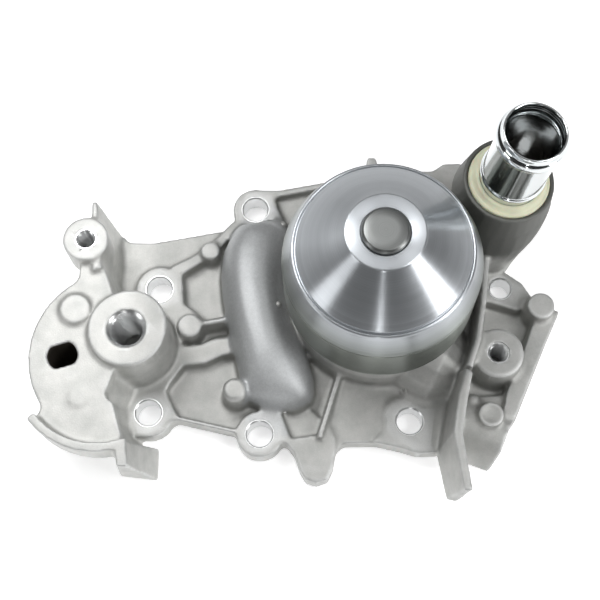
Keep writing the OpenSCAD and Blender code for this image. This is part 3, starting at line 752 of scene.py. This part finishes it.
class PUMP_OT_cast_marks(Operator):
    """Make the small marks on the casting: two sprue nubs on the bulge and two raised ticks"""
    bl_idname = "pump.cast_marks"
    bl_label = "Cast marks"

    def execute(self, context):
        colours = context.scene.pump_colours
        context.view_layer.update()
        casting = bpy.data.objects["casting"]

        def on_skin(x, y):
            hit, place, _, _ = casting.ray_cast(Vector((x, y, 0.2)), Vector((0, 0, -1)))
            if not hit:
                raise RuntimeError("a cast mark misses the casting")
            return place

        marks = []
        for x, y, r in ((-31.8, 26.2, 1.3), (-32.9, -5.3, 1.1)):
            dome = half_round(r * MM, r * MM * 0.7, 9)
            marks.append(revolved(dome, 24, closed=False, place=Matrix.Translation(on_skin(x * MM, y * MM))))
        for x, y in ((7.2, -31.6), (8.5, -31.8)):
            shape = bmesh.new()
            bmesh.ops.create_cube(shape, size=1.0)
            place = on_skin(x * MM, y * MM)
            stretch = Matrix.Diagonal((0.35 * MM, 3.2 * MM, 0.5 * MM, 1.0))
            turn = Matrix.Rotation(math.radians(3), 4, "Z")
            bmesh.ops.transform(shape, matrix=Matrix.Translation(place) @ turn @ stretch,
                                verts=shape.verts)
            bmesh.ops.bevel(shape, geom=shape.edges[:], offset=0.1 * MM, segments=2, affect="EDGES")
            tick = bpy.data.meshes.new("tick")
            shape.to_mesh(tick)
            shape.free()
            marks.append(tick)
        piece("cast_marks", joined(marks), FIXED, cast_aluminium(colours))
        return {"FINISHED"}


class PUMP_OT_bolt_holes(Operator):
    """Make the machined walls and rims of the bolt holes"""
    bl_idname = "pump.bolt_holes"
    bl_label = "Bolt holes"

    def execute(self, context):
        sizes, colours = settings(context)
        walls = []
        for name, mount in MOUNTS.items():
            if "bolt_hole" in name:
                r, half = hole_size(mount)
                top, outer = half + 0.03 * MM, r + sizes.rim_w
                chamfer = 0.35 * MM
                rows = [(r, -half), (r, half - chamfer), (r + chamfer, top), (outer, top),
                        (outer + 0.1 * MM, half - 0.3 * MM), (outer, -half)]
                walls.append(revolved(rows, 96, place=along(name)))
        piece("bolt_hole_walls", joined(walls), FIXED, machined_aluminium(colours))
        return {"FINISHED"}


class PUMP_OT_threads(Operator):
    """Cut the threads of the three tapped holes"""
    bl_idname = "pump.threads"
    bl_label = "Threads"

    def thread(self, name, pitch, depth, mouth):
        """A wall with a helical thread, a countersunk mouth and a drilled bottom."""
        core, half = hole_size(MOUNTS[name])
        turns, per_pitch = 72, 8
        angles = np.linspace(0, 2 * math.pi, turns, endpoint=False)
        low, high = -half + 0.3 * MM, half + mouth
        count = int((high - low) / pitch * per_pitch)
        rows = [(0.0, low - core * 0.4), (core, low)]
        for k in range(1, count):
            z = low + (high - low) * k / count
            wave = 0.5 - 0.5 * np.cos(2 * math.pi * (z / pitch) - angles)
            fade = min(1.0, k / per_pitch)
            cone = core + max(0.0, z - (high - mouth - depth * 0.4))
            rows.append((np.maximum(core + depth * fade * wave ** 0.7, cone), z))
        rim = core + mouth + depth * 0.4
        back = core + depth + 0.25 * MM
        rows += [(rim, high + 0.06 * MM), (rim + 0.5 * MM, high + 0.06 * MM),
                 (rim + 0.45 * MM, high - 0.5 * MM), (back, high - mouth - 0.6 * MM), (back, low),
                 (0.0, low - core * 0.4 - 0.2 * MM)]
        return revolved(rows, turns, closed=False, place=along(name))

    def execute(self, context):
        sizes, colours = settings(context)
        walls = [
            self.thread("tensioner_thread", 1.75 * MM, sizes.thread_h, 1.3 * MM),
            self.thread("guide_thread", 1.0 * MM, sizes.thread_h * 0.7, 0.5 * MM),
            self.thread("cover_thread", 1.0 * MM, sizes.thread_h * 0.7, 0.6 * MM),
        ]
        piece("threads", joined(walls), FIXED, machined_aluminium(colours), sharp=50.0)
        return {"FINISHED"}


# ---------- pulley and shaft ----------

class PUMP_OT_pulley(Operator):
    """Turn the belt pulley: hub face, cone, bead, shoulder and belt face"""
    bl_idname = "pump.pulley"
    bl_label = "Pulley"

    def execute(self, context):
        sizes, colours = settings(context)
        low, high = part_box("pulley")
        back, face = low[2] / MM, high[2] / MM
        r = sizes.pulley_d / 2 / MM
        bore = sizes.shaft_d / 2 / MM
        hub = sizes.hub_face_d / 2 / MM
        inner = r - sizes.pulley_wall / MM
        shoulder = back + sizes.belt_face_w / MM
        outer = [(bore + 0.35, face)]
        outer += shifted(hub, face, [(-0.2, 0), (0.15, -0.18), (0.4, -0.5), (3.4, -2.95), (7, -6.0),
                                     (10.8, -9.55)])
        # the bead at the cone's foot, and the shoulder down to the belt face
        outer += shifted(r, shoulder, [
            (-4.6, 10.85), (-4.46, 10.5), (-4.44, 9.85), (-4.15, 9.85), (-3.95, 10.15), (-3.6, 10.25),
            (-3.2, 10.05), (-2.95, 9.65), (-2.8, 9.1), (-2.74, 8.5), (-2.5, 7.6), (-1.75, 5.4),
            (-1.05, 3.4), (-0.5, 2.1), (-0.16, 1.5), (-0.02, 0.9), (-0.05, 0.3), (-0.26, 0.1),
            (-0.26, -0.4), (0, -0.7)])
        outer += shifted(r, back, [(0, 1.3), (-0.12, 1.1), (-0.12, 0.9), (0, 0.7), (0, 0.4), (-0.4, 0)])
        cup = [(inner + 0.4, back), (inner, back + 0.4), (inner, shoulder), (inner - 1.5, shoulder + 4.5),
               (inner - 3.6, shoulder + 8), (13.4, face - 5), (12.4, face - 7), (12.4, face - 16),
               (11.9, face - 16.5), (bore + 0.4, face - 16.5), (bore, face - 16.1), (bore, face - 0.35)]
        mesh = revolved(rounded(metres(outer + cup), 0.12 * MM, 2), 256)
        finish = turned_aluminium(colours, shoulder * MM)
        piece("belt_pulley", mesh, ROTOR, finish, ("pulley",), 40.0)
        return {"FINISHED"}


class PUMP_OT_shaft(Operator):
    """Turn the shaft with its chamfered end"""
    bl_idname = "pump.shaft"
    bl_label = "Shaft"

    def execute(self, context):
        sizes, colours = settings(context)
        low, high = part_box("shaft")
        r = sizes.shaft_d / 2
        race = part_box("front_balls")
        side = r - 0.01 * MM
        groove = half_round(0.2 * MM, 1.1 * MM, 9, (race[0][2] + race[1][2]) / 2)
        rows = [(0.0, high[2]), (r * 0.5, high[2]), (r - 0.95 * MM, high[2]),
                (r - 0.8 * MM, high[2] - 0.06 * MM), (r - 0.06 * MM, high[2] - 0.86 * MM),
                (side, high[2] - 1.0 * MM)]
        rows += [(min(r - depth, side), height) for depth, height in groove]
        rows += [(side, low[2] + 0.6 * MM), (r - 0.6 * MM, low[2]), (0.0, low[2])]
        piece("pump_shaft", revolved(rows, 160, closed=False), ROTOR, turned_steel(colours),
              ("shaft",), 30.0)
        return {"FINISHED"}


# ---------- hose tube ----------

class PUMP_OT_hose_tube(Operator):
    """Form the plated hose tube with its rolled bead, and the sealing ring at its foot"""
    bl_idname = "pump.hose_tube"
    bl_label = "Hose tube"

    def execute(self, context):
        sizes, colours = settings(context)
        r = sizes.tube_d / 2 / MM
        bore = r - sizes.tube_wall / MM
        top = sizes.tube_len / MM
        lean = along("tube_bore", -7 * MM)
        tube = [(bore, -13.5), (r, -13.5), (r, 4.9)]
        tube += shifted(r, 0, [(0.18, 5.2), (0.5, 5.6), (0.62, 6.1), (0.5, 6.6), (0.18, 7.0), (0, 7.3)])
        # the rolled bead and the lip, outside and then inside
        tube += shifted(r, top, [
            (0, -7.2), (0.12, -6.9), (0.5, -6.4), (0.92, -5.6), (1.13, -4.8), (1.15, -4.2), (1.0, -3.4),
            (0.6, -2.7), (0.12, -2.2), (-0.1, -1.8), (-0.16, -1.2), (-0.2, -0.7), (-0.34, -0.22),
            (-0.58, -0.02), (-0.82, -0.03), (-1.05, -0.22), (-1.16, -0.6), (-1.2, -1.6)])
        tube += shifted(bore, top, [(0.22, -2.2), (0.6, -2.9), (0.88, -3.6), (0.97, -4.4), (0.9, -5.2),
                                    (0.5, -6.0), (0.1, -6.5), (0, -6.9)])
        rows = rounded(metres(tube), 0.2 * MM, 2)
        piece("hose_tube", revolved(rows, 192, place=lean), FIXED, zinc_plate(colours),
              ("outlet_tube",), 50.0)
        seat = 13.1
        ring = [(r + 0.02, -8), (seat - 0.05, -8), (seat - 0.05, -0.1), (seat - 0.2, 0.35),
                (seat - 0.7, 0.75), (seat - 1.0, 0.85), (r + 1.5, 1.5), (r + 1.1, 2.1), (r + 0.6, 2.35),
                (r + 0.02, 2.4)]
        rows = rounded(metres(ring), 0.15 * MM, 3)
        cream = moulded("Acetal, moulded", list(colours.cream), 0.45, 0.6 * MM, 0.01 * MM, 1.48, 0.2)
        mesh = revolved(rows, 160, place=lean)
        piece("sealing_ring", mesh, FIXED, cream, ("tube_seal",), 50.0)
        return {"FINISHED"}


# ---------- impeller, bearing and shaft seal ----------

class PUMP_OT_impeller(Operator):
    """Mould the impeller: a backplate, a hub sleeve and swept vanes"""
    bl_idname = "pump.impeller"
    bl_label = "Impeller"

    def vane(self, radius, low, high):
        """One swept vane, thicker at its root, with a rounded tip."""
        inner, outer, steps = 11.2 * MM, radius - 0.25 * MM, 16
        sweep = math.radians(62)
        left, right = [], []
        for k in range(steps + 1):
            t = k / steps
            r = inner + (outer - inner) * t
            swing = sweep * t ** 1.1
            half = (1.15 - 0.35 * t) * MM * math.sqrt(max(0.0, 1 - max(0.0, (t - 0.92) / 0.085) ** 2))
            centre = Vector((r * math.cos(swing), r * math.sin(swing)))
            lead = sweep * 1.1 * max(t, 0.05) ** 0.1 * r / (outer - inner)
            run = Vector((math.cos(swing) - lead * math.sin(swing),
                          math.sin(swing) + lead * math.cos(swing))).normalized()
            side = Vector((-run.y, run.x)) * max(half, 0.08 * MM)
            left.append(centre + side)
            right.append(centre - side)
        outline = left + right[::-1]
        count = len(outline)
        points, faces = [], []
        levels = ((high, 1.0), (low + 0.25 * MM, 1.0), (low, 0.93))
        for z, share in levels:
            for i, p in enumerate(outline):
                across = outline[count - 1 - i]
                q = p.lerp((p + across) / 2, 1 - share)
                points.append((q.x, q.y, z))
        for level in range(len(levels) - 1):
            for i in range(count):
                a, b = level * count + i, level * count + (i + 1) % count
                faces.append((a, b, b + count, a + count))
        half = count // 2
        for base in (0, (len(levels) - 1) * count):
            for i in range(half - 1):
                faces.append((base + i, base + i + 1, base + count - 2 - i, base + count - 1 - i))
        mesh = bpy.data.meshes.new("vane")
        mesh.from_pydata(points, [], faces)
        clean(mesh)
        return mesh

    def execute(self, context):
        sizes, colours = settings(context)
        low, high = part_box("impeller")
        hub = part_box("impeller_hub")
        r = sizes.impeller_d / 2
        inner = hub[1][0]
        resin = moulded("Phenolic resin, moulded", list(colours.resin), 0.42, 0.5 * MM, 0.015 * MM, 1.55)
        disc = [(inner, high[2]), (r - 0.3 * MM, high[2]), (r, high[2] - 0.3 * MM), (r, high[2] - 1.1 * MM),
                (r - 0.4 * MM, high[2] - 1.5 * MM), (inner + 3.6 * MM, high[2] - 1.7 * MM),
                (inner + 2.2 * MM, high[2] - 2.8 * MM), (inner + 1.9 * MM, low[2] + 0.4 * MM),
                (inner + 1.5 * MM, low[2]), (inner, low[2])]
        plate = revolved(rounded(disc, 0.3 * MM, 3), 160)
        vanes = grown(around_axis(), self.vane(r, low[2], high[2] - 1.3 * MM),
                      {"Count": sizes.vane_count, "Finish": resin})
        piece("impeller_wheel", joined([plate, vanes]), ROTOR, resin, ("impeller",), 40.0)
        dress("impeller_hub", turned_steel(colours))
        return {"FINISHED"}


class PUMP_OT_bearing(Operator):
    """Make the bearing's balls and rollers and dress its rings, cages and lip seals"""
    bl_idname = "pump.bearing"
    bl_label = "Bearing"

    def execute(self, context):
        sizes, colours = settings(context)
        steel = plain_metal("Bearing steel, polished", list(colours.steel), 0.16, 0.4 * MM)
        brass = plain_metal("Brass, stamped", list(colours.brass), 0.34, 0.5 * MM)
        rubber = nitrile_rubber(colours)
        low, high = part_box("front_balls")
        r = (high[2] - low[2]) / 2
        pitch = high[0] - r
        ball = revolved(half_round(r, r, 17, (low[2] + high[2]) / 2), 32, closed=False,
                        place=Matrix.Translation((pitch, 0, 0)))
        balls = grown(around_axis(), ball, {"Count": sizes.ball_count, "Finish": steel})
        piece("ball_row_balls", balls, "ball_row", steel, ("front_balls",), 60.0)
        low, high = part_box("rear_rollers")
        r = high[0] - pitch
        ends = rounded([(0, low[2]), (r, low[2]), (r, high[2]), (0, high[2])], 0.3 * MM, 3)
        roller = revolved(ends, 32, place=Matrix.Translation((pitch, 0, 0)))
        rollers = grown(around_axis(), roller, {"Count": sizes.roller_count, "Finish": steel})
        piece("roller_row_rollers", rollers, "roller_row", steel, ("rear_rollers",), 50.0)
        dress("bearing_outer_ring", steel)
        for node in ("front_cage", "rear_cage"):
            dress(node, brass)
        for node in ("front_bearing_seal", "rear_bearing_seal"):
            dress(node, rubber)
        return {"FINISHED"}


class PUMP_OT_shaft_seal(Operator):
    """Wind the shaft seal's spring and dress the seal's other pieces and the gasket"""
    bl_idname = "pump.shaft_seal"
    bl_label = "Shaft seal and gasket"

    def execute(self, context):
        colours = context.scene.pump_colours
        sheet = plain_metal("Stainless sheet, pressed", list(colours.stainless), 0.30, 0.8 * MM)
        rubber = nitrile_rubber(colours)
        low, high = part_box("seal_spring")
        wire = 0.45 * MM
        coil = grown(coil_tree(), bpy.data.meshes.new("empty"), {
            "Turns": 2.5, "Coil radius": high[0] - wire, "Height": high[2] - low[2] - 2 * wire,
            "Wire radius": wire, "Base": low[2] + wire, "Finish": sheet})
        clean(coil)
        piece("seal_coil_spring", coil, FIXED, sheet, ("seal_spring",), 60.0)
        for node in ("seal_case", "seal_drive_band"):
            dress(node, sheet)
        for node in ("seal_bellows", "seat_cup"):
            dress(node, rubber)
        dress("carbon_face", moulded("Carbon, lapped", list(colours.carbon), 0.3, 0.2 * MM, 0.003 * MM, 1.8))
        ceramic = moulded("Alumina, lapped", list(colours.ceramic), 0.2, 0.3 * MM, 0.002 * MM, 1.76)
        dress("mating_ring", ceramic)
        dress("gasket", moulded("Gasket sheet, coated", list(colours.gasket), 0.62, 0.7 * MM, 0.03 * MM))
        return {"FINISHED"}


# ---------- stage ----------

def softbox(name, place, target, size, power, tint="#ffffff"):
    """A rectangular area light that faces a point."""
    lamp = bpy.data.lights.new(name, "AREA")
    lamp.shape = "RECTANGLE"
    lamp.size, lamp.size_y = size
    lamp.energy = power
    lamp.color = linear(tint)[:3]
    obj = bpy.data.objects.new(name, lamp)
    obj.location = place
    obj.rotation_euler = (Vector(target) - Vector(place)).to_track_quat("-Z", "Y").to_euler()
    bpy.context.scene.collection.objects.link(obj)


def around(azimuth, elevation, distance, centre=(-0.01, 0.0, 0.03)):
    """A place round the object. Azimuth 0 is towards +X and 90 towards +Y, in degrees."""
    a, e = math.radians(azimuth), math.radians(elevation)
    return Vector(centre) + distance * Vector((math.cos(e) * math.cos(a), math.cos(e) * math.sin(a),
                                               math.sin(e)))


class PUMP_OT_stage(Operator):
    """Set the pale floor, the soft studio lights and the camera"""
    bl_idname = "pump.stage"
    bl_label = "Stage"

    def execute(self, context):
        scene = context.scene
        half, floor_z = 3.0, CAD_BOX[0][2] - 0.02 * MM
        mesh = bpy.data.meshes.new("floor")
        mesh.from_pydata([(-half, -half, floor_z), (half, -half, floor_z), (half, half, floor_z),
                          (-half, half, floor_z)], [], [(0, 1, 2, 3)])
        floor = bpy.data.objects.new("floor", mesh)
        mesh.materials.append(material("Light table, white", {
            "Base Color": linear("#f2f2f2"), "Roughness": 0.9, "Emission Color": linear("#ffffff"),
            "Emission Strength": 0.5}))
        scene.collection.objects.link(floor)

        eye, target = Vector((-0.0177, -0.12795, 0.39064)), Vector((-0.02579, -0.00448, 0.02))
        camera = bpy.data.objects.new("camera", bpy.data.cameras.new("camera"))
        camera.data.lens, camera.data.sensor_width = 72.0, 36.0
        camera.data.clip_start, camera.data.clip_end = 0.01, 20.0
        turn = (target - eye).to_track_quat("-Z", "Y").to_matrix().to_4x4()
        roll = Matrix.Rotation(math.radians(-3.95), 4, "Z")
        camera.matrix_world = Matrix.Translation(eye) @ turn @ roll
        scene.collection.objects.link(camera)
        scene.camera = camera

        world = bpy.data.worlds.new("studio")
        world.use_nodes = True
        tree = world.node_tree
        tree.nodes.clear()
        direction = add(tree, "ShaderNodeTexCoord").outputs["Generated"]
        height = add(tree, "ShaderNodeSeparateXYZ", {0: direction}).outputs[2]
        rise = add(tree, "ShaderNodeMapRange", {0: height, 1: 0.4, 2: 0.95, 3: 0.03, 4: 0.42},
                   interpolation_type="SMOOTHSTEP").outputs[0]
        sky = add(tree, "ShaderNodeBackground", {"Color": linear("#ffffff"), "Strength": rise})
        add(tree, "ShaderNodeOutputWorld", {"Surface": sky.outputs[0]})
        scene.world = world
        scene.view_settings.view_transform = "Standard"
        scene.view_settings.look = "None"

        centre = (0.0, 0.0, 0.05)
        softbox("front left box", around(208, 14, 0.7), centre, (0.22, 0.22), 0.6)
        softbox("front right box", around(-28, 14, 0.7), centre, (0.24, 0.22), 1.5)
        softbox("front strip", around(-92, 12, 0.7), centre, (0.02, 0.25), 0.25)
        softbox("back left key", Vector((-0.15, 0.10, 0.30)), (-0.06, 0.0, 0.01), (0.15, 0.15), 0.52)
        softbox("right fill", around(-20, 55, 0.8), (0.03, -0.01, 0.0), (0.3, 0.3), 2.0)
        softbox("top box", around(90, 72, 0.9), centre, (0.16, 0.12), 0.36)
        return {"FINISHED"}


# ---------- panel and registration ----------

PIECES = (PUMP_OT_casting, PUMP_OT_cast_marks, PUMP_OT_bolt_holes, PUMP_OT_threads, PUMP_OT_pulley,
          PUMP_OT_shaft, PUMP_OT_hose_tube, PUMP_OT_impeller, PUMP_OT_bearing, PUMP_OT_shaft_seal,
          PUMP_OT_stage)


class PUMP_PT_panel(Panel):
    """Lists the pump's pieces and its sizes and colours"""
    bl_idname = "PUMP_PT_panel"
    bl_label = "Coolant Pump"
    bl_space_type = "VIEW_3D"
    bl_region_type = "UI"
    bl_category = "Coolant Pump"

    def draw(self, context):
        for operator in PIECES:
            self.layout.operator(operator.bl_idname)
        for group in (context.scene.pump_sizes, context.scene.pump_colours):
            box = self.layout.box()
            for name in type(group).__annotations__:
                box.prop(group, name)


CLASSES = (PumpSizes, PumpColours) + PIECES + (PUMP_PT_panel,)


def register():
    for cls in CLASSES:
        bpy.utils.register_class(cls)
    bpy.types.Scene.pump_sizes = PointerProperty(type=PumpSizes)
    bpy.types.Scene.pump_colours = PointerProperty(type=PumpColours)


def unregister():
    del bpy.types.Scene.pump_colours
    del bpy.types.Scene.pump_sizes
    for cls in reversed(CLASSES):
        bpy.utils.unregister_class(cls)


def main():
    register()
    for operator in PIECES:
        group, name = operator.bl_idname.split(".")
        getattr(getattr(bpy.ops, group), name)()


if __name__ == "__main__":
    main()
